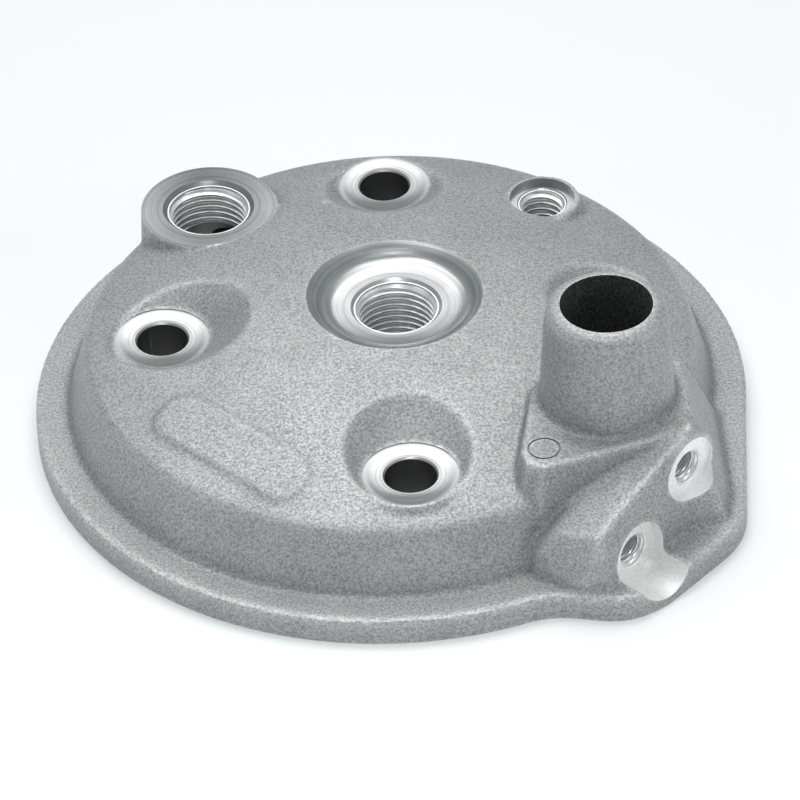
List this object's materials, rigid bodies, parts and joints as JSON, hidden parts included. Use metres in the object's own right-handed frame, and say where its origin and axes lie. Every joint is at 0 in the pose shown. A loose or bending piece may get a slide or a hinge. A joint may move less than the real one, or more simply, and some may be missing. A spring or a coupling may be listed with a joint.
{
  "type": "cylinder head",
  "caption": "Liquid-cooled two-stroke cylinder head: domed aluminium casting with round flange, side coolant spigot, bolt lug and sealing rings underneath.",
  "frame": {"origin": "centre of the round flange, on the gasket face", "axes": "+Z along the spark plug axis, away from the cylinder; two studs lie along X and two along Y from the plug axis, which is at x = 1.6 mm; the coolant spigot and lug are towards +X -Y"},
  "size_m": [0.1222, 0.1222, 0.0418],
  "materials": {
    "cast_aluminium": "as-cast, machined at seats and threads",
    "seal_rubber": "smooth black"
  },
  "bodies": {
    "root": {"head_casting": "cast_aluminium", "chamber_seal": "seal_rubber", "jacket_seal": "seal_rubber", "stud_seal_1": "seal_rubber", "stud_seal_2": "seal_rubber", "stud_seal_3": "seal_rubber", "stud_seal_4": "seal_rubber"}
  },
  "joints": []
}
